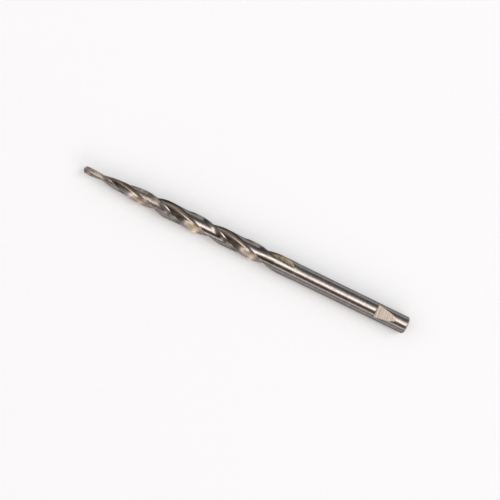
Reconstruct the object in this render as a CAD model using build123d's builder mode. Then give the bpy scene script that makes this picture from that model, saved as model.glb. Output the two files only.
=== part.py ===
from build123d import *
import os
from math import asin, atan2, ceil, cos, degrees, hypot, pi, radians, sin, sqrt, tan

# Taper-point drill bit: one piece of ground high-speed steel, lying on its side.
# The axis is X with the point toward -X, the set-screw notch faces +Z, and the
# origin is the centre of the shank's end face. Sizes are millimetres and degrees.

# Lengths: the first three from the point, then the step and the end's chamfer
overall_length = 88.9
taper_length = 21.5
flute_length = 57.15
shank_step_length = 1.0
shank_chamfer = 0.25

# Diameters: at the corners of the point, over the relieved lands, over the plain
# body behind them, and of the shank
point_diameter = 1.72
land_diameter = 4.43
body_diameter = 4.47
shank_diameter = 4.37

# Drill point: 118 degrees, with flat flanks that fall away behind each lip
point_angle = 118.0
lip_relief = 16.0

# Flutes: two right-hand helical grooves. Each section is a straight cutting face
# that runs into a round bottom. flute_bearing is the way from the axis to the
# centre of that bottom, measured from the cutting edge, and lip_bearing is the
# way to the cutting edge at the point, measured from the notch.
lead = 30.8
web_thickness = 0.91
flute_radius = 0.91
flute_bearing = 70.0
lip_bearing = 87.5
flute_taper_share = 0.6

# Run-out: the cutter climbs out of the blank at the shank end of the flutes
run_out_length = 6.5
run_out_bearing = 45.0
run_out_power = 1.3

# Lands: a full-size margin behind each cutting edge, then a ground relief that
# is deepest behind the margin and rises a little again toward the heel. It
# fades to the small share relief_left before the plain body begins.
margin_angle = 8.0
ramp_angle = 30.0
ramp_hollow = 0.8
relief_depth = 0.245
heel_depth = 0.125
heel_angle = 84.0
relief_length = 45.5
relief_fade = 6.5
relief_left = 0.02

# Set-screw notch, from the shank end: a flat that slopes down to a shoulder
notch_start = 3.2
notch_length = 5.35
notch_depth = 0.69
shoulder_lean = 28.0
shoulder_radius = 0.15

# Lofted sections: their turn from one to the next, and how far cutters reach out
section_turn = 15.0
reach = 1.5

point_radius = point_diameter / 2
land_radius = land_diameter / 2
body_radius = body_diameter / 2
shank_radius = shank_diameter / 2
section_pitch = lead * section_turn / 360
point_x = -overall_length


def polar(radius, angle):
    """A section point from a radius and an angle in degrees."""
    return (radius * cos(radians(angle)), radius * sin(radians(angle)))


def stations(first, last):
    """Evenly spaced distances from the point, about one section pitch apart."""
    steps = ceil((last - first) / section_pitch)
    return [first + (last - first) * i / steps for i in range(steps + 1)]


def section_plane(x):
    """Cross-section at x from the point, turned along the helix."""
    turn = radians(lip_bearing - 360 * x / lead)
    return Plane(origin=(point_x + x, 0, 0), x_dir=(0, sin(turn), cos(turn)), z_dir=(-1, 0, 0))


def blank_radius(x):
    """Radius over the lands at x from the point."""
    along_taper = min(x / taper_length, 1.0)
    return point_radius + (land_radius - point_radius) * along_taper


def flute_scale(x):
    """The flutes get smaller along the taper, but less than the blank does."""
    return (blank_radius(x) / land_radius) ** flute_taper_share


# The flute's full-size section, with the cutting edge at (land_radius, 0)
flute_reach = web_thickness / 2 + flute_radius
flute_x, flute_y = polar(flute_reach, flute_bearing)
edge_distance = hypot(land_radius - flute_x, flute_y)
face_length = sqrt(edge_distance**2 - flute_radius**2)
face_lean = degrees(atan2(flute_y, land_radius - flute_x) - asin(flute_radius / edge_distance))
face_outward = Vector(*polar(1, -face_lean))

# Travel along run_out_bearing that lifts the round bottom just off the body
side_step = flute_reach * sin(radians(flute_bearing - run_out_bearing))
fore_step = flute_reach * cos(radians(flute_bearing - run_out_bearing))
run_out_travel = sqrt((body_radius + flute_radius) ** 2 - side_step**2) - fore_step


def flute_lift(x):
    """How far the flute cutter has climbed at x from the point."""
    climb = (x - flute_length + run_out_length) / run_out_length
    return run_out_travel * max(climb, 0.0) ** run_out_power


def edge_angle(x):
    """Angle at which the cutting face meets the blank's surface."""
    offset = land_radius * flute_scale(x) * sin(radians(face_lean))
    return degrees(asin(offset / blank_radius(x))) - face_lean


def relief_share(x):
    """1 where the lands are fully relieved, falling smoothly over the fade."""
    faded = min(max((x - relief_length) / relief_fade, 0.0), 1.0)
    return relief_left + (1 - relief_left) * (1 + cos(pi * faded)) / 2


# Lands: lofted along the helix, as two margins with their reliefs between. What
# lies past each heel is still whole here, and goes when the flutes are cut.
land_end = relief_length + relief_fade
with BuildPart() as drill_bit:
    for x in stations(-section_pitch, land_end):
        full = blank_radius(x)
        floor = full - relief_depth * relief_share(x)
        slack = full - ramp_hollow * relief_depth * relief_share(x)
        hump = full - (relief_depth + heel_depth) / 2 * relief_share(x)
        heel = full - heel_depth * relief_share(x)
        shoulder = full - heel_depth / 2 * relief_share(x)
        with BuildSketch(section_plane(x)):
            with BuildLine():
                for half_turn in (0, -180):
                    margin_end = edge_angle(x) - margin_angle + half_turn
                    ramp_end = margin_end - ramp_angle
                    heel_end = margin_end - heel_angle
                    front = edge_angle(x) + margin_angle + half_turn
                    back = front - 180
                    margin_point = polar(full, margin_end)
                    ramp_point = polar(floor, ramp_end)
                    heel_point = polar(heel, heel_end)
                    on_margin = polar(full, (front + margin_end) / 2)
                    on_ramp = polar(slack, (margin_end + ramp_end) / 2)
                    on_land = polar(hump, (ramp_end + heel_end) / 2)
                    past_heel = polar(shoulder, (heel_end + back) / 2)
                    ThreePointArc(polar(full, front), on_margin, margin_point)
                    ThreePointArc(margin_point, on_ramp, ramp_point)
                    ThreePointArc(ramp_point, on_land, heel_point)
                    ThreePointArc(heel_point, past_heel, polar(full, back))
            make_face()
    loft()

    # Body past the relief, a small step down to the shank, and a chamfered end
    body_end_x = point_x + flute_length
    with BuildSketch(Plane.XZ):
        with BuildLine():
            Polyline(
                (point_x + land_end, 0),
                (point_x + land_end, body_radius),
                (body_end_x, body_radius),
                (body_end_x + shank_step_length, shank_radius),
                (-shank_chamfer, shank_radius),
                (0, shank_radius - shank_chamfer),
                (0, 0),
                close=True,
            )
        make_face()
    revolve(axis=Axis.X)

# Flute cutter: lofted along the helix, past the point at one end and clear of
# the body at the other
with BuildPart() as flute_cutter:
    for x in stations(-2 * section_pitch, flute_length + section_pitch / 2):
        size = flute_scale(x)
        lift = Vector(*polar(flute_lift(x), run_out_bearing))
        edge = Vector(land_radius * size, 0) + lift
        centre = Vector(flute_x * size, flute_y * size) + lift
        root = edge - face_outward * (face_length * size)
        rim = edge + face_outward * (reach * size)
        belly = centre - Vector(*polar(flute_radius * size, -face_lean / 2))
        crown = centre + Vector(0, flute_radius * size)
        outside = crown + Vector(0, reach * size)
        with BuildSketch(section_plane(x)):
            with BuildLine():
                Line(rim, root)
                ThreePointArc(root, belly, crown)
                Polyline(crown, outside, rim)
            make_face()
    loft()

# Both flutes, then the two flanks of the point
point_plane = section_plane(0)
flank_fall = 1 / tan(radians(point_angle / 2))
flank_back = tan(radians(lip_relief))
lip_ahead = Vector(-face_outward.Y, face_outward.X)
with drill_bit:
    for half_turn in (0, 180):
        add(flute_cutter.part, rotation=(half_turn, 0, 0), mode=Mode.SUBTRACT)
    for side in (1, -1):
        slope = (face_outward * flank_fall - lip_ahead * flank_back) * side
        normal = point_plane.x_dir * slope.X + point_plane.y_dir * slope.Y + point_plane.z_dir
        with BuildSketch(Plane(origin=point_plane.origin, z_dir=normal)):
            Circle(reach * body_radius)
        extrude(amount=reach * body_radius, mode=Mode.SUBTRACT)

# Set-screw notch, milled straight across the shank
notch_slope = notch_depth / notch_length
notch_foot = (-notch_start - notch_length, shank_radius - notch_depth)
notch_rise = notch_depth * reach
shoulder_top = (notch_foot[0] - notch_rise * tan(radians(shoulder_lean)), notch_foot[1] + notch_rise)
flat_end = (notch_foot[0] + notch_rise / notch_slope, notch_foot[1] + notch_rise)
with drill_bit:
    with BuildSketch(Plane.XZ):
        with BuildLine():
            Polyline(shoulder_top, notch_foot, flat_end, close=True)
        make_face()
        fillet(vertices().sort_by(Axis.Y)[0], radius=shoulder_radius)
    extrude(amount=body_radius, both=True, mode=Mode.SUBTRACT)

drill_bit.part.label = "drill_bit"
os.makedirs("parts", exist_ok=True)
export_step(drill_bit.part, "parts/drill_bit.step")
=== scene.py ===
import math

import bmesh
import bpy
import numpy as np
from mathutils import Matrix, Vector


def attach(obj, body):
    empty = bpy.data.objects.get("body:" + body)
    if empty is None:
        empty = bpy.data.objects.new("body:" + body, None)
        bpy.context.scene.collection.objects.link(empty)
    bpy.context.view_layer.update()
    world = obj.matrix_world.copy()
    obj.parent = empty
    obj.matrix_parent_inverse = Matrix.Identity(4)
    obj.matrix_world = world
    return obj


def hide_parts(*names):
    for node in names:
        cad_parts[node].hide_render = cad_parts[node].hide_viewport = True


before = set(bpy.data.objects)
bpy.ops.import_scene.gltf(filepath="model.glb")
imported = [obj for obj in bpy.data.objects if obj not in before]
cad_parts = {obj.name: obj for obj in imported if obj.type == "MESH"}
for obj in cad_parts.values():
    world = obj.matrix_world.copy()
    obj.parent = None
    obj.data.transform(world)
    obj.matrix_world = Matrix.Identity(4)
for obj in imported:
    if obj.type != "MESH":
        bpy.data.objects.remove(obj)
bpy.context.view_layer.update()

# The drill bit is one bar of high-speed steel, ground from the solid: a tapered and a
# straight stretch with two right-hand flutes, then the plain body and the shank. Sizes
# are the solid's own, in millimetres and degrees, with x measured from the point.
taper_length = 21.5
flute_length = 57.15
body_start, body_rise = 51.2, 0.8
point_radius = 0.86
land_radius = 2.215
body_radius = 2.235
lead = 30.8
lip_bearing = 87.5


def blank_radius(x):
    """Radius over the lands: the taper, the straight lands, then the plain body."""
    on_lands = point_radius + (land_radius - point_radius) * min(x / taper_length, 1.0)
    past = min(max((x - body_start) / body_rise, 0.0), 1.0)
    return on_lands + (body_radius - land_radius) * past * past * (3 - 2 * past)


def turn_at(x):
    """How far the section is turned along the helix, which stops with the flutes."""
    return math.radians(lip_bearing - 360 * min(x, flute_length) / lead)


# Each flute is a straight cutting face that runs into a round bottom, and it gets
# smaller along the taper, but less than the bar does. The grinding wheel climbs out
# of the bar at the shank end and leaves a long pointed run-out.
web_thickness = 0.91
flute_radius = 0.91
flute_bearing = 70.0
flute_taper_share = 0.6
run_out_length = 6.5
run_out_bearing = math.radians(45.0)
run_out_power = 1.3
outside_bar = 1.5
face_steps, bottom_steps = 700, 900

flute_reach = web_thickness / 2 + flute_radius
flute_centre = flute_reach * np.exp(1j * math.radians(flute_bearing))
to_edge = land_radius - flute_centre
face_length = math.sqrt(abs(to_edge) ** 2 - flute_radius ** 2)
face_lean = -np.angle(to_edge) - math.asin(flute_radius / abs(to_edge))
face_outward = np.exp(-1j * face_lean)
side_step = flute_reach * math.sin(math.radians(flute_bearing) - run_out_bearing)
fore_step = flute_reach * math.cos(math.radians(flute_bearing) - run_out_bearing)
run_out_travel = math.sqrt((body_radius + flute_radius) ** 2 - side_step ** 2) - fore_step


def flute_size(x):
    """Size of the flute's section at x, as a share of its full size."""
    return (blank_radius(min(x, body_start)) / land_radius) ** flute_taper_share


def flute_path(x):
    """The wheel's outline in the section at x, from the cutting face round to the heel."""
    size = flute_size(x)
    climb = max((x - flute_length + run_out_length) / run_out_length, 0.0)
    lift = run_out_travel * climb ** run_out_power * np.exp(1j * run_out_bearing)
    edge = land_radius * size + lift
    centre = flute_centre * size + lift
    face = edge + face_outward * size * np.linspace(outside_bar, -face_length, face_steps)
    bend = np.linspace(-math.pi / 2 - face_lean, -1.5 * math.pi, bottom_steps)
    return np.concatenate([face, centre + flute_radius * size * np.exp(1j * bend)[1:]])


# Behind each cutting edge stands a narrow full-size margin. The land behind it is
# ground lower, deepest next to the margin, and rises a little again toward the heel.
margin_angle = 8.0
ramp_angle = 30.0
ramp_hollow = 0.8
heel_angle = 84.0
relief_depth = 0.245
heel_depth = 0.125
relief_length = 45.5
relief_fade = 6.5


def edge_angle(x):
    """Polar angle at which the cutting face meets the bar's surface, in degrees."""
    offset = land_radius * flute_size(x) * math.sin(face_lean)
    return math.degrees(math.asin(offset / blank_radius(x)) - face_lean)


def through_three(u, places, drops):
    """A smooth curve through three drops below full size."""
    (a, b, c), (p, q, r) = places, drops
    return (p * (u - b) * (u - c) / ((a - b) * (a - c))
            + q * (u - a) * (u - c) / ((b - a) * (b - c))
            + r * (u - a) * (u - b) / ((c - a) * (c - b)))


def land_surface(x, angle):
    """Radius of the ground land at a polar angle in degrees, before the flutes."""
    first = edge_angle(x) + margin_angle
    u = first + 180 - 2 * margin_angle - ((angle - first) % 180 + first)
    share = 0.5 + 0.5 * math.cos(math.pi * min(max((x - relief_length) / relief_fade, 0), 1))
    heel_end = 180 - 2 * margin_angle
    ramp = through_three(u, (0, ramp_angle / 2, ramp_angle),
                         (0, ramp_hollow * relief_depth, relief_depth))
    land = through_three(u, (ramp_angle, (ramp_angle + heel_angle) / 2, heel_angle),
                         (relief_depth, (relief_depth + heel_depth) / 2, heel_depth))
    past = through_three(u, (heel_angle, (heel_angle + heel_end) / 2, heel_end),
                         (heel_depth, heel_depth / 2, 0))
    behind_ramp = np.where(u < heel_angle, land, past)
    drop = np.where(u < 0, 0, np.where(u < ramp_angle, ramp, behind_ramp))
    return blank_radius(x) - share * drop


# The surface is laid as rings of points, one ring to a section, and the rings draw
# together where the flutes run out. Every ring has the same strips: for each half the
# flute, the land, the ramp and the margin.
overall_length = 88.9
shank_step_length = 1.0
shank_radius = 2.185
strip_steps = {"flute": 48, "land": 16, "ramp": 10, "margin": 12}
before_point, ring_pitch, flute_rings = -1.2, 0.24, 217
run_out_start, run_out_span, run_out_rings = 50.64, 6.51, 45
plain_start, plain_end, plain_rings = 58.75, overall_length - 0.6, 56
flute_x = [before_point + ring_pitch * i for i in range(flute_rings)]
run_out_x = [run_out_start + run_out_span * (1 - (1 - t) ** 2)
             for t in np.linspace(0, 1, run_out_rings + 1)[1:]]
plain_x = [57.4, 57.7, flute_length + shank_step_length]
plain_x += list(np.linspace(plain_start, plain_end, plain_rings))


def plain_radius(x):
    """Radius past the flutes: the body, a short step down, then the shank."""
    down = min(max((x - flute_length) / shank_step_length, 0.0), 1.0)
    return body_radius + (shank_radius - body_radius) * down


def half_section(x):
    """Half of the section: its points from one cutting edge to just before the next."""
    steps, land_steps = strip_steps["flute"], strip_steps["land"]
    if x < flute_length:
        path = flute_path(x)
        above = np.abs(path) - land_surface(x, np.degrees(np.angle(path)))
        cut = np.nonzero(above < 0)[0]
        first = cut[0] - above[cut[0]] / (above[cut[0]] - above[cut[0] - 1])
        last = cut[-1] + above[cut[-1]] / (above[cut[-1]] - above[cut[-1] + 1])
        place = np.linspace(first, last, steps + 1)
        number = np.arange(len(path))
        flute = np.interp(place, number, path.real) + 1j * np.interp(place, number, path.imag)
    else:
        run_out_end = flute_centre + run_out_travel * np.exp(1j * run_out_bearing)
        flute = np.full(steps + 1, plain_radius(x) * run_out_end / abs(run_out_end))
    heel, edge = np.degrees(np.angle(flute[-1])), np.degrees(np.angle(flute[0]))
    margin_end = edge_angle(min(x, flute_length)) + 180 - margin_angle
    ramp_end = margin_end - ramp_angle
    angles = np.concatenate([
        np.linspace(heel, ramp_end, land_steps + 1)[:-1],
        np.linspace(ramp_end, margin_end, strip_steps["ramp"] + 1)[:-1],
        np.linspace(margin_end, edge + 180, strip_steps["margin"] + 1)[:-1]])
    radius = land_surface(x, angles) if x < flute_length else plain_radius(x)
    return np.concatenate([flute[:-1], radius * np.exp(1j * np.radians(angles))])


def ring(x, section):
    """A section's points in the part's own frame, turned along the helix."""
    turned = section * np.exp(1j * turn_at(x))
    return np.stack([np.full(len(section), x - overall_length), turned.imag, turned.real], -1)


rings = []
for x in flute_x + run_out_x + plain_x:
    half = half_section(x)
    rings.append(ring(x, np.concatenate([half, -half])))

# The shank end is square, with a small turned chamfer whose two corners are broken.
# Its outline is a row of depths below the end face and drops below the shank.
shank_chamfer = 0.25
corner = 0.06
chamfer_reach = shank_chamfer + corner * math.tan(math.radians(22.5))
end_profile = []
for bend in np.radians([0, 15, 30, 45]):
    end_profile.append((chamfer_reach - corner * math.sin(bend), corner * (1 - math.cos(bend))))
for bend in np.radians([45, 60, 75, 90]):
    end_profile.append((corner * (1 - math.sin(bend)), chamfer_reach - corner * math.cos(bend)))
for share in (0.75, 0.5, 0.25):
    end_profile.append((0.0, shank_radius - (shank_radius - chamfer_reach) * share))
for depth, drop in end_profile:
    scaled = half * (shank_radius - drop) / shank_radius
    rings.append(ring(overall_length - depth, np.concatenate([scaled, -scaled])))

# Neighbouring rings are joined by four-sided faces. Points that coincide where the
# flutes have closed are one point, and the strip there has no faces. Each face keeps
# its finish, and its places along the strip and off the edges, for the grinding marks
# and for the painted glint along the edges.
columns = len(rings[0])
half_columns = columns // 2
flute_columns = strip_steps["flute"]
points, index = [], []
for number, row in enumerate(rings):
    closed = number >= len(flute_x) + len(run_out_x)
    here = []
    for column in range(columns):
        in_flute = column % half_columns <= flute_columns
        if closed and in_flute and column % half_columns:
            here.append(here[column - column % half_columns])
        else:
            here.append(len(points))
            points.append(row[column] / 1000)
    index.append(here)
points.append((0.0, 0.0, 0.0))

ground, relieved, fluted, flank, milled = range(5)
faces, finishes, strip_places, edge_places = [], [], [], []
for number in range(len(rings) - 1):
    near, far = index[number], index[number + 1]
    along = rings[number][0][0], rings[number + 1][0][0]
    gaps = [np.linalg.norm(np.roll(row, -1, 0) - row, axis=1) for row in rings[number:number + 2]]
    around = [np.concatenate([[0], np.cumsum(gap)]) for gap in gaps]
    edges_around = [(0, way[flute_columns], way[half_columns]) for way in around]
    for column in range(columns):
        nxt = (column + 1) % columns
        first_of_half = column - column % half_columns
        across = [way[column] - way[first_of_half] for way in around]
        corners = [(near[column], across[0], column, 0),
                   (far[column], across[1], column, 1),
                   (far[nxt], across[1] + gaps[1][column], nxt, 1),
                   (near[nxt], across[0] + gaps[0][column], nxt, 0)]
        kept, strip_place, edge_place = [], [], []
        for point, from_edge, at_column, end in corners:
            if point in kept:
                continue
            to_edge = min(abs(from_edge - edge) for edge in edges_around[end])
            if at_column % half_columns in (0, flute_columns):
                to_edge = 0.0
            kept.append(point)
            strip_place.append((from_edge, along[end]))
            edge_place.append((to_edge, along[end]))
        if len(kept) < 3:
            continue
        place = column % half_columns
        past_relief = along[0] + overall_length > relief_length + relief_fade
        if place < flute_columns:
            surface = fluted
        elif past_relief or place >= half_columns - strip_steps["margin"]:
            surface = ground
        else:
            surface = relieved
        faces.append(kept)
        strip_places.append(strip_place)
        edge_places.append(edge_place)
        finishes.append(surface)
for column in range(columns):
    tri = [index[-1][column], len(points) - 1, index[-1][(column + 1) % columns]]
    if tri[0] != tri[2]:
        faces.append(tri)
        strip_places.append([(0, 0)] * 3)
        edge_places.append([(1, 0)] * 3)
        finishes.append(ground)

mesh = bpy.data.meshes.new("taper_drill_bit")
mesh.from_pydata([tuple(p) for p in points], [], faces)
mesh.polygons.foreach_set("material_index", finishes)
for name, places in (("wheel_path", strip_places), ("edge_distance", edge_places)):
    flat = [value for face in places for corner_place in face for value in corner_place]
    mesh.uv_layers.new(name=name).data.foreach_set("uv", flat)
bit = bpy.data.objects.new("taper_drill_bit", mesh)
bpy.context.scene.collection.objects.link(bit)

# The point is ground to 118 degrees with two flat flanks, each falling away behind
# its lip, and they meet in a short chisel edge across the web.
point_angle = math.radians(118)
lip_relief = math.radians(16)
tolerance = 1e-8
flank_fall = 1 / math.tan(point_angle / 2)
slope = face_outward * flank_fall - 1j * face_outward * math.tan(lip_relief)
form = bmesh.new()
form.from_mesh(mesh)
for side in (1, -1):
    turned = slope * side * np.exp(1j * turn_at(0))
    normal = Vector((-1.0, turned.imag, turned.real))
    cut = bmesh.ops.bisect_plane(form, geom=form.verts[:] + form.edges[:] + form.faces[:],
                                 plane_co=(-overall_length / 1000, 0, 0), plane_no=normal,
                                 dist=tolerance, clear_outer=True)
    rim = [e for e in cut["geom_cut"] if isinstance(e, bmesh.types.BMEdge)]
    filled = bmesh.ops.contextual_create(form, geom=rim)
    for face in filled["faces"]:
        face.material_index = flank
        face.smooth = False
bmesh.ops.recalc_face_normals(form, faces=form.faces[:])
form.to_mesh(mesh)
form.free()

# The set-screw notch is milled straight across the shank: a flat that slopes down to
# a leaning shoulder, with the cutter's small radius at its foot.
notch_start, notch_length, notch_depth = 3.2, 5.35, 0.69
shoulder_lean = math.radians(28)
shoulder_radius = 0.15
above_bar, past_notch, half_width = 1.2, 8.5, 3
root_steps = 8
foot = np.array([-notch_start - notch_length, shank_radius - notch_depth])
up_flat = np.array([notch_length, notch_depth]) / math.hypot(notch_length, notch_depth)
up_shoulder = np.array([-math.sin(shoulder_lean), math.cos(shoulder_lean)])
opening = math.acos(up_flat @ up_shoulder)
reach = shoulder_radius / math.tan(opening / 2)
bisector = (up_flat + up_shoulder) / np.linalg.norm(up_flat + up_shoulder)
middle = foot + bisector * shoulder_radius / math.sin(opening / 2)
begin = foot + up_shoulder * reach - middle
outline = [foot + up_shoulder * above_bar]
for bend in np.linspace(0, math.pi - opening, root_steps + 1):
    turned = complex(*begin) * np.exp(1j * bend)
    outline.append(middle + np.array([turned.real, turned.imag]))
outline.append(foot + up_flat * past_notch)
cutter_mesh = bpy.data.meshes.new("notch_cutter")
count = len(outline)
sides = [(p[0] / 1000, y / 1000, p[1] / 1000) for y in (-half_width, half_width) for p in outline]
cutter_faces = [list(range(count)), list(range(2 * count - 1, count - 1, -1))]
cutter_faces += [[i, i + count, (i + 1) % count + count, (i + 1) % count] for i in range(count)]
cutter_mesh.from_pydata(sides, [], cutter_faces)
cutter = bpy.data.objects.new("notch_cutter", cutter_mesh)
bpy.context.scene.collection.objects.link(cutter)
shape = bmesh.new()
shape.from_mesh(cutter_mesh)
bmesh.ops.recalc_face_normals(shape, faces=shape.faces[:])
shape.to_mesh(cutter_mesh)
shape.free()
for name in ("ground_high_speed_steel", "relief_ground_steel", "flute_ground_steel",
             "point_ground_steel", "milled_steel"):
    mesh.materials.append(bpy.data.materials.new(name))
for _ in mesh.materials:
    cutter_mesh.materials.append(mesh.materials[milled])
difference = bit.modifiers.new("notch", "BOOLEAN")
difference.operation = "DIFFERENCE"
difference.solver = "EXACT"
difference.material_mode = "TRANSFER"
difference.object = cutter
bpy.context.view_layer.update()
notched = bpy.data.meshes.new_from_object(bit.evaluated_get(bpy.context.evaluated_depsgraph_get()))
bit.modifiers.clear()
bit.data = notched
bpy.data.objects.remove(cutter)

# Slivers left by the cutter are welded. Ground corners stay crisp, and everything else
# is smooth.
crisp_from = math.radians(17)
form = bmesh.new()
form.from_mesh(notched)
bmesh.ops.remove_doubles(form, verts=form.verts, dist=2 * tolerance)
for face in form.faces:
    face.smooth = True
for edge in form.edges:
    if len(edge.link_faces) == 2:
        edge.smooth = edge.calc_face_angle() < crisp_from
form.to_mesh(notched)
form.free()
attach(bit, "root")
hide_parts("drill_bit")


def add(tree, kind, inputs=None, **settings):
    """Adds a node with its settings; each input takes a value, or the node that feeds it."""
    made = tree.nodes.new("ShaderNode" + kind)
    for name, value in settings.items():
        setattr(made, name, value)
    for socket, value in (inputs or {}).items():
        if isinstance(value, bpy.types.Node):
            value = value.outputs[0]
        if isinstance(value, bpy.types.NodeSocket):
            tree.links.new(value, made.inputs[socket])
        else:
            made.inputs[socket].default_value = value
    return made


def linear(hex_colour):
    """A colour written as sRGB hex, in the linear values that nodes take."""
    parts = [int(hex_colour[i:i + 2], 16) / 255 for i in (1, 3, 5)]
    return (*[p / 12.92 if p < 0.04045 else ((p + 0.055) / 1.055) ** 2.4 for p in parts], 1.0)


def steel(name):
    """A bare steel finish: its nodes, its shader and its place in the part in millimetres."""
    tree = bpy.data.materials[name].node_tree
    shader = tree.nodes["Principled BSDF"]
    shader.inputs["Metallic"].default_value = 1
    shader.inputs["Specular Tint"].default_value = (0.2, 0.2, 0.2, 1)
    place = add(tree, "VectorMath", {0: add(tree, "TexCoord").outputs["Object"], 1: (1000, 1000, 1000)},
                operation="MULTIPLY")
    return tree, shader, place


def finish(tree, shader, colour, roughness, height, depth):
    """Joins colour, roughness and relief, whose depth is in millimetres, to the shader."""
    bump = add(tree, "Bump", {"Height": height, "Strength": 1.0, "Distance": depth / 1000})
    tree.links.new(colour.outputs[2], shader.inputs["Base Color"])
    tree.links.new(roughness.outputs[0], shader.inputs["Roughness"])
    tree.links.new(bump.outputs[0], shader.inputs["Normal"])


for material in notched.materials:
    material.use_nodes = True

# Body and shank are centreless-ground: bright, ringed, slightly lobed and scuffed, and
# rubbed paler at the point. The rings are really 0.02 mm apart and are drawn 0.25 mm
# apart so that they show. Patterns are sized in millimetres along the bar and across.
ring_mark, lobe, scuff = (0.25, 5.0, 5.0), (20.0, 0.625, 0.625), (1.43, 0.4, 0.4)
rubbed_from, rubbed_by = 6.0 - overall_length, 4.5 - overall_length
tree, shader, place = steel("ground_high_speed_steel")
ringed = add(tree, "VectorMath", {0: place, 1: ring_mark}, operation="DIVIDE")
marks = add(tree, "TexNoise", {"Vector": ringed, "Scale": 1.0, "Detail": 3.0, "Roughness": 0.6})
lobed = add(tree, "VectorMath", {0: place, 1: lobe}, operation="DIVIDE")
lobes = add(tree, "TexNoise", {"Vector": lobed, "Scale": 1.0, "Detail": 2.0, "Roughness": 0.6})
handled = add(tree, "VectorMath", {0: place, 1: scuff}, operation="DIVIDE")
scuffs = add(tree, "TexNoise", {"Vector": handled, "Scale": 1.0, "Detail": 5.0, "Roughness": 0.6})
at_point = add(tree, "MapRange", {0: add(tree, "SeparateXYZ", {0: place}), 1: rubbed_from, 2: rubbed_by})
tone = add(tree, "Mix", {0: add(tree, "MapRange", {0: marks, 1: 0.3, 2: 0.7}), 6: linear("#807D7A"),
                         7: linear("#9C9895")}, data_type="RGBA")
tone = add(tree, "Mix", {0: add(tree, "MapRange", {0: lobes, 1: 0.35, 2: 0.65, 4: 0.55}),
                         6: tone.outputs[2], 7: linear("#908D8A")}, data_type="RGBA")
wear_and_glint = add(tree, "MapRange", {0: scuffs, 1: 0.52, 2: 0.66})
tone = add(tree, "Mix", {0: wear_and_glint, 6: tone.outputs[2], 7: linear("#857D76")}, data_type="RGBA")
rubbed = add(tree, "Mix", {0: wear_and_glint, 6: linear("#B6AEA8"), 7: linear("#8F8882")}, data_type="RGBA")
tone = add(tree, "Mix", {0: at_point, 6: tone.outputs[2], 7: rubbed.outputs[2]}, data_type="RGBA")
rough = add(tree, "MapRange", {0: marks, 1: 0.3, 2: 0.7, 3: 0.2, 4: 0.24})
rough = add(tree, "Math", {0: wear_and_glint, 1: 0.04, 2: rough}, operation="MULTIPLY_ADD")
rough = add(tree, "Math", {0: at_point, 1: 0.08, 2: rough}, operation="MULTIPLY_ADD")
finish(tree, shader, tone, rough, marks, depth=0.0002)

# The relief is ground along the helix with a coarser wheel: satin, patchy on the taper,
# palest at the point, and paler near its edges, partly from wear and partly as a painted
# glint where the edges would catch the light. Its marks, sized across the strip and along
# the bit, are really 0.05 mm apart and are drawn 0.29 mm apart so that they show.
relief_mark, patch = (0.286, 4.0, 1.0), 0.455
dull_from, dull_by = 28.0 - overall_length, 18.0 - overall_length
tree, shader, place = steel("relief_ground_steel")
strip = add(tree, "UVMap", uv_map="wheel_path")
edge = add(tree, "SeparateXYZ", {0: add(tree, "UVMap", uv_map="edge_distance")})
ground_along = add(tree, "VectorMath", {0: strip, 1: relief_mark}, operation="DIVIDE")
marks = add(tree, "TexNoise", {"Vector": ground_along, "Scale": 1.0, "Detail": 3.0, "Roughness": 0.6})
grain = add(tree, "TexNoise", {"Vector": place, "Scale": 1 / patch, "Detail": 5.0, "Roughness": 0.6})
on_taper = add(tree, "MapRange", {0: edge.outputs["Y"], 1: dull_from, 2: dull_by})
at_point = add(tree, "MapRange", {0: edge.outputs["Y"], 1: rubbed_from, 2: rubbed_by})
tone = add(tree, "Mix", {0: add(tree, "MapRange", {0: marks, 1: 0.3, 2: 0.7}), 6: linear("#84807C"),
                         7: linear("#9C9895")}, data_type="RGBA")
tone = add(tree, "Mix", {0: add(tree, "MapRange", {0: grain, 1: 0.4, 2: 0.62, 4: 0.6}),
                         6: tone.outputs[2], 7: linear("#7D766E")}, data_type="RGBA")
patchy = add(tree, "Mix", {0: add(tree, "MapRange", {0: grain, 1: 0.35, 2: 0.65}), 6: linear("#68625D"),
                           7: linear("#B6AEA6")}, data_type="RGBA")
tone = add(tree, "Mix", {0: on_taper, 6: tone.outputs[2], 7: patchy.outputs[2]}, data_type="RGBA")
rubbed = add(tree, "Mix", {0: add(tree, "MapRange", {0: grain, 1: 0.4, 2: 0.6}), 6: linear("#B6AEA8"),
                           7: linear("#8F8882")}, data_type="RGBA")
tone = add(tree, "Mix", {0: at_point, 6: tone.outputs[2], 7: rubbed.outputs[2]}, data_type="RGBA")
# Painted glint, partly wear: the tone turns paler within a few tenths of a millimetre of each edge.
wear_and_glint = add(tree, "MapRange", {0: edge, 1: 0.16, 2: 0.04})
tone = add(tree, "Mix", {0: wear_and_glint, 6: tone.outputs[2], 7: linear("#BDB6AF")}, data_type="RGBA")
rough = add(tree, "MapRange", {0: grain, 1: 0.35, 2: 0.65, 3: 0.17, 4: 0.23})
rough = add(tree, "Math", {0: on_taper, 1: 0.15, 2: rough}, operation="MULTIPLY_ADD")
rough = add(tree, "Math", {0: at_point, 1: 0.06, 2: rough}, operation="MULTIPLY_ADD")
finish(tree, shader, tone, rough, marks, depth=0.0006)
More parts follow.
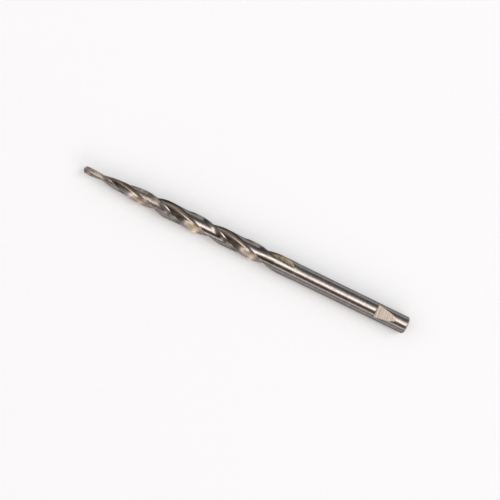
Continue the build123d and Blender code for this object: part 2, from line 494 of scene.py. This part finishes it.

# A formed wheel ground the flutes from the solid and ran hot: browner steel with straw
# gold patches, duller on the taper, golden in the run-out, and paler at the edges, partly
# from wear and partly as a painted glint where the edges would catch the light.
# Its marks are really 0.05 mm apart and are drawn 0.42 mm apart so that they show.
flute_mark, run_out_step, heat_patch = (0.417, 8.33, 1.0), (4.0, 0.435, 1.0), (2.86, 1.67, 1.67)
golden_from, golden_by = 50.4 - overall_length, 53.4 - overall_length
tree, shader, place = steel("flute_ground_steel")
strip = add(tree, "UVMap", uv_map="wheel_path")
edge = add(tree, "SeparateXYZ", {0: add(tree, "UVMap", uv_map="edge_distance")})
ground_along = add(tree, "VectorMath", {0: strip, 1: flute_mark}, operation="DIVIDE")
marks = add(tree, "TexNoise", {"Vector": ground_along, "Scale": 1.0, "Detail": 4.0, "Roughness": 0.6})
stepped = add(tree, "VectorMath", {0: strip, 1: run_out_step}, operation="DIVIDE")
steps = add(tree, "TexNoise", {"Vector": stepped, "Scale": 1.0, "Detail": 2.0, "Roughness": 0.6})
patched = add(tree, "VectorMath", {0: place, 1: heat_patch}, operation="DIVIDE")
heat = add(tree, "TexNoise", {"Vector": patched, "Scale": 1.0, "Detail": 3.0, "Roughness": 0.6})
on_taper = add(tree, "MapRange", {0: edge.outputs["Y"], 1: dull_from, 2: dull_by, 4: 0.3})
in_run_out = add(tree, "MapRange", {0: edge.outputs["Y"], 1: golden_from, 2: golden_by})
tone = add(tree, "Mix", {0: add(tree, "MapRange", {0: marks, 1: 0.3, 2: 0.7}), 6: linear("#70665F"),
                         7: linear("#B8AEA7")}, data_type="RGBA")
tone = add(tree, "Mix", {0: add(tree, "MapRange", {0: heat, 1: 0.5, 2: 0.68, 4: 0.6}),
                         6: tone.outputs[2], 7: linear("#B6AA94")}, data_type="RGBA")
tone = add(tree, "Mix", {0: on_taper, 6: tone.outputs[2], 7: linear("#635A54")}, data_type="RGBA")
golden = add(tree, "Mix", {0: add(tree, "MapRange", {0: steps, 1: 0.35, 2: 0.65}), 6: linear("#827763"),
                           7: linear("#BAAF99")}, data_type="RGBA")
tone = add(tree, "Mix", {0: in_run_out, 6: tone.outputs[2], 7: golden.outputs[2]}, data_type="RGBA")
# Painted glint, partly wear: the tone turns paler close to each edge of the flute.
wear_and_glint = add(tree, "MapRange", {0: edge, 1: 0.1, 2: 0.02})
tone = add(tree, "Mix", {0: wear_and_glint, 6: tone.outputs[2], 7: linear("#C2BBB4")}, data_type="RGBA")
rough = add(tree, "MapRange", {0: marks, 1: 0.3, 2: 0.7, 3: 0.25, 4: 0.33})
rough = add(tree, "Math", {0: in_run_out, 1: 0.1, 2: rough}, operation="MULTIPLY_ADD")
uneven = add(tree, "Math", {0: steps, 1: 0.5, 2: marks}, operation="MULTIPLY_ADD")
finish(tree, shader, tone, rough, uneven, depth=0.0008)

# The flanks of the point are ground last, by hand on a fine wheel: straight marks
# across each flank, on a slightly darker face. They are really 0.02 mm apart and are
# drawn 0.11 mm apart so that they show.
flank_mark = (1.0, 0.111, 1.0)
tree, shader, place = steel("point_ground_steel")
straight = add(tree, "VectorMath", {0: place, 1: flank_mark}, operation="DIVIDE")
marks = add(tree, "TexNoise", {"Vector": straight, "Scale": 1.0, "Detail": 2.0, "Roughness": 0.6})
tone = add(tree, "Mix", {0: add(tree, "MapRange", {0: marks, 1: 0.3, 2: 0.7}), 6: linear("#7F766E"),
                         7: linear("#A39A91")}, data_type="RGBA")
rough = add(tree, "MapRange", {0: marks, 1: 0.3, 2: 0.7, 3: 0.3, 4: 0.4})
finish(tree, shader, tone, rough, marks, depth=0.002)

# The notch is fly-cut: a pale satin flat with arcs left by the cutter's teeth. The
# feed marks are really 0.1 mm apart and are drawn 0.31 mm apart so that they show.
feed, waver, patch = 0.3125, 1.25, 0.667
sweep_centre = (2.5, 0.6, 0)
tree, shader, place = steel("milled_steel")
from_centre = add(tree, "VectorMath", {0: place, 1: sweep_centre}, operation="SUBTRACT")
level = add(tree, "VectorMath", {0: from_centre, 1: (1, 1, 0)}, operation="MULTIPLY")
sweep = add(tree, "VectorMath", {0: level}, operation="LENGTH")
wobble = add(tree, "TexNoise", {"Vector": place, "Scale": 1 / waver, "Detail": 3.0, "Roughness": 0.6})
radius = add(tree, "Math", {0: wobble, 1: 0.35, 2: sweep.outputs["Value"]}, operation="MULTIPLY_ADD")
arcs = add(tree, "TexNoise", {"W": radius, "Scale": 1 / feed, "Detail": 2.0, "Roughness": 0.5},
           noise_dimensions="1D")
patches = add(tree, "TexNoise", {"Vector": place, "Scale": 1 / patch, "Detail": 3.0, "Roughness": 0.6})
tone = add(tree, "Mix", {0: add(tree, "MapRange", {0: arcs, 1: 0.36, 2: 0.62}), 6: linear("#9B9189"),
                         7: linear("#C0B7AE")}, data_type="RGBA")
tone = add(tree, "Mix", {0: add(tree, "MapRange", {0: patches, 1: 0.45, 2: 0.65, 4: 0.5}),
                         6: tone.outputs[2], 7: linear("#C4B7A9")}, data_type="RGBA")
rough = add(tree, "MapRange", {0: arcs, 1: 0.3, 2: 0.7, 3: 0.5, 4: 0.38})
finish(tree, shader, tone, rough, arcs, depth=0.006)

# The bit lies on a wide round sweep of white paper that turns up low at its edge. Paper
# seen by the camera, or mirrored in the steel, is lifted to white, and keeps the shadow.
paper_height = -body_radius / 1000
paper_lift = 0.06
sweep_profile = [(0.4, 0.0), (5.2, 0.0), (5.6, 0.04), (5.85, 0.15), (5.95, 0.35), (6.0, 0.65)]
segments = 64
round_sweep = np.linspace(0, math.tau, segments, endpoint=False)
floor_points = [(radius * math.cos(turn), radius * math.sin(turn), paper_height + height)
                for radius, height in sweep_profile for turn in round_sweep]
floor_faces = [tuple(range(segments))]
for start in range(0, segments * (len(sweep_profile) - 1), segments):
    outer = start + segments
    floor_faces += [(start + i, outer + i, outer + (i + 1) % segments, start + (i + 1) % segments)
                    for i in range(segments)]
floor_mesh = bpy.data.meshes.new("paper_sweep")
floor_mesh.from_pydata(floor_points, [], floor_faces)
floor_mesh.shade_smooth()
floor = bpy.data.objects.new("paper_sweep", floor_mesh)
bpy.context.scene.collection.objects.link(floor)
paper = bpy.data.materials.new("white_paper")
paper.use_nodes = True
sheet = paper.node_tree.nodes["Principled BSDF"]
sheet.inputs["Base Color"].default_value = linear("#EFF3FA")
sheet.inputs["Roughness"].default_value = 0.9
sheet.inputs["Specular IOR Level"].default_value = 0.0
sheet.inputs["Emission Color"].default_value = linear("#F8FCFF")
tree = paper.node_tree
rays = add(tree, "LightPath").outputs
seen = add(tree, "Math", {0: rays["Is Camera Ray"], 1: rays["Is Glossy Ray"]}, operation="MAXIMUM")
seen = add(tree, "Math", {0: seen, 1: rays["Is Transmission Ray"]}, operation="MAXIMUM")
lift = add(tree, "Math", {0: seen, 1: paper_lift}, operation="MULTIPLY")
tree.links.new(lift.outputs[0], sheet.inputs["Emission Strength"])
floor_mesh.materials.append(paper)

# Soft studio light: a large softbox overhead and a second one beyond it, in a room
# whose sides are darker and whose two ends are lighter and warmer. Each wall is one
# part of the room along the bit, from beyond the point to beyond the shank.
world = bpy.data.worlds.new("studio")
bpy.context.scene.world = world
world.use_nodes = True
room = world.node_tree
direction = add(room, "SeparateXYZ", {0: add(room, "TexCoord").outputs["Generated"]})
around = add(room, "Math", {0: direction.outputs["Y"], 1: direction.outputs["Z"]}, operation="ARCTAN2")
across_room = add(room, "MapRange", {0: around, 1: -math.pi / 2, 2: math.pi / 2})


def wall(stops):
    """Light of one part of the room, by degrees from the near side over the top to the far."""
    made = add(room, "ValToRGB", {0: across_room})
    while len(made.color_ramp.elements) < len(stops):
        made.color_ramp.elements.new(0.5)
    for element, (degrees, *_) in zip(made.color_ramp.elements, stops):
        element.position = (degrees + 90) / 180
    for element, (_, level, tint) in zip(made.color_ramp.elements, stops):
        element.color = (*[level * part for part in tint], 1)
    return made.outputs[0]


cool, plain, warm = (0.95, 1.0, 1.03), (1.02, 1.0, 0.97), (1.07, 1.0, 0.93)
pink, brown, gold = (1.1, 0.96, 0.98), (1.22, 0.96, 0.82), (1.12, 1.02, 0.82)
walls = [
    (-0.9, wall([(-90, 0.6, warm), (-40, 1.1, warm), (-20, 1.15, warm), (10, 1.0, plain),
                 (40, 0.8, plain), (65, 0.6, plain), (90, 0.4, plain)])),
    (-0.5, wall([(-90, 0.7, warm), (-40, 1.3, plain), (-20, 1.1, plain), (10, 0.8, plain),
                 (40, 0.7, warm), (65, 0.55, warm), (90, 0.35, plain)])),
    (-0.33, wall([(-90, 0.4, warm), (-40, 0.6, plain), (-20, 0.7, plain), (5, 0.7, plain),
                  (25, 0.45, plain), (60, 0.5, warm), (90, 0.25, plain)])),
    (-0.12, wall([(-90, 0.2, warm), (-50, 0.2, warm), (-30, 0.3, pink), (0, 0.35, plain),
                  (25, 0.35, plain), (55, 0.18, plain), (90, 0.15, cool)])),
    (0.08, wall([(-90, 0.2, warm), (-74, 0.3, warm), (-67, 0.6, pink), (-58, 1.2, pink),
                 (-50, 0.4, pink), (-42, 0.03, brown), (-22, 0.02, brown), (-14, 0.3, brown),
                 (-6, 0.75, warm), (18, 1.0, warm), (28, 0.85, plain), (48, 0.3, plain),
                 (62, 0.12, cool), (90, 0.05, cool)])),
    (0.26, wall([(-90, 0.3, warm), (-74, 0.5, warm), (-67, 1.4, pink), (-58, 2.8, pink),
                 (-50, 1.0, pink), (-42, 0.05, brown), (-22, 0.05, brown), (-14, 0.42, brown),
                 (-6, 0.8, warm), (18, 0.25, warm), (28, 0.1, plain), (48, 0.2, plain),
                 (62, 0.2, cool), (90, 0.15, cool)])),
    (0.45, wall([(-90, 0.4, pink), (-75, 0.6, pink), (-58, 0.8, pink), (-40, 1.2, gold), (-20, 0.7, gold),
                 (0, 0.8, gold), (20, 1.0, plain), (42, 1.1, plain), (60, 1.15, plain), (80, 1.0, warm),
                 (90, 0.7, plain)])),
    (0.62, wall([(-90, 0.4, pink), (-75, 0.7, pink), (-60, 1.3, pink), (-42, 2.8, gold), (-20, 0.95, gold),
                 (0, 1.0, gold), (20, 1.0, plain), (42, 0.9, plain), (60, 0.8, cool), (80, 0.65, cool),
                 (90, 0.45, plain)]))]
light = walls[0][1]
for (start, _), (end, colour) in zip(walls, walls[1:]):
    gives_way = add(room, "MapRange", {0: direction.outputs["X"], 1: start, 2: end})
    light = add(room, "Mix", {0: gives_way, 6: light, 7: colour}, data_type="RGBA").outputs[2]
room.links.new(light, room.nodes["Background"].inputs["Color"])

softbox_distance = 2
middle_of_bit = Vector((-0.045, 0, 0))


def softbox(name, around, along, width, length, strength, colour):
    """An area lamp aimed at the bit's middle, placed by its angles round and along the axis."""
    lamp = bpy.data.lights.new(name, "AREA")
    lamp.shape = "RECTANGLE"
    lamp.size, lamp.size_y = length, width
    lamp.energy = strength * math.pi * length * width
    lamp.color = colour
    made = bpy.data.objects.new(name, lamp)
    bpy.context.scene.collection.objects.link(made)
    round_axis, along_axis = math.radians(around), math.radians(along)
    away = Vector((math.sin(along_axis), math.cos(along_axis) * math.sin(round_axis),
                   math.cos(along_axis) * math.cos(round_axis)))
    made.location = middle_of_bit + away * softbox_distance
    made.rotation_euler = away.to_track_quat("Z", "Y").to_euler()
    made.visible_camera = False


softbox("overhead_softbox", 8, 11, 0.53, 1.1, 3.75, (1.04, 0.99, 0.94))
softbox("far_softbox", 32, 25.5, 1.1, 0.58, 2.8, (1.04, 0.97, 0.95))

# The camera looks down on the bit from the notch side with a long lens, as in the
# photograph, and is turned so that the point is at the upper left.
lean, off_notch, tilt = math.radians(10.75), math.radians(3.7), math.radians(26.01)
distance, half_frame = 1.6, 0.061
toward = Vector((-math.sin(lean), -math.cos(lean) * math.sin(off_notch),
                 math.cos(lean) * math.cos(off_notch)))
along = (Vector((1, 0, 0)) - toward * toward.x).normalized()
up = toward.cross(along)
right = along * math.cos(tilt) + up * math.sin(tilt)
above = up * math.cos(tilt) - along * math.sin(tilt)
camera = bpy.data.cameras.new("camera")
camera.sensor_width = 36
camera.lens = camera.sensor_width / 2 * distance / half_frame
camera_object = bpy.data.objects.new("camera", camera)
bpy.context.scene.collection.objects.link(camera_object)
frame_middle = Vector((-0.04325, 0, 0)) - up * 0.00008
placing = Matrix((right, above, toward)).transposed().to_4x4()
placing.translation = frame_middle + toward * distance
camera_object.matrix_world = placing
bpy.context.scene.camera = camera_object
bpy.context.scene.view_settings.view_transform = "Standard"
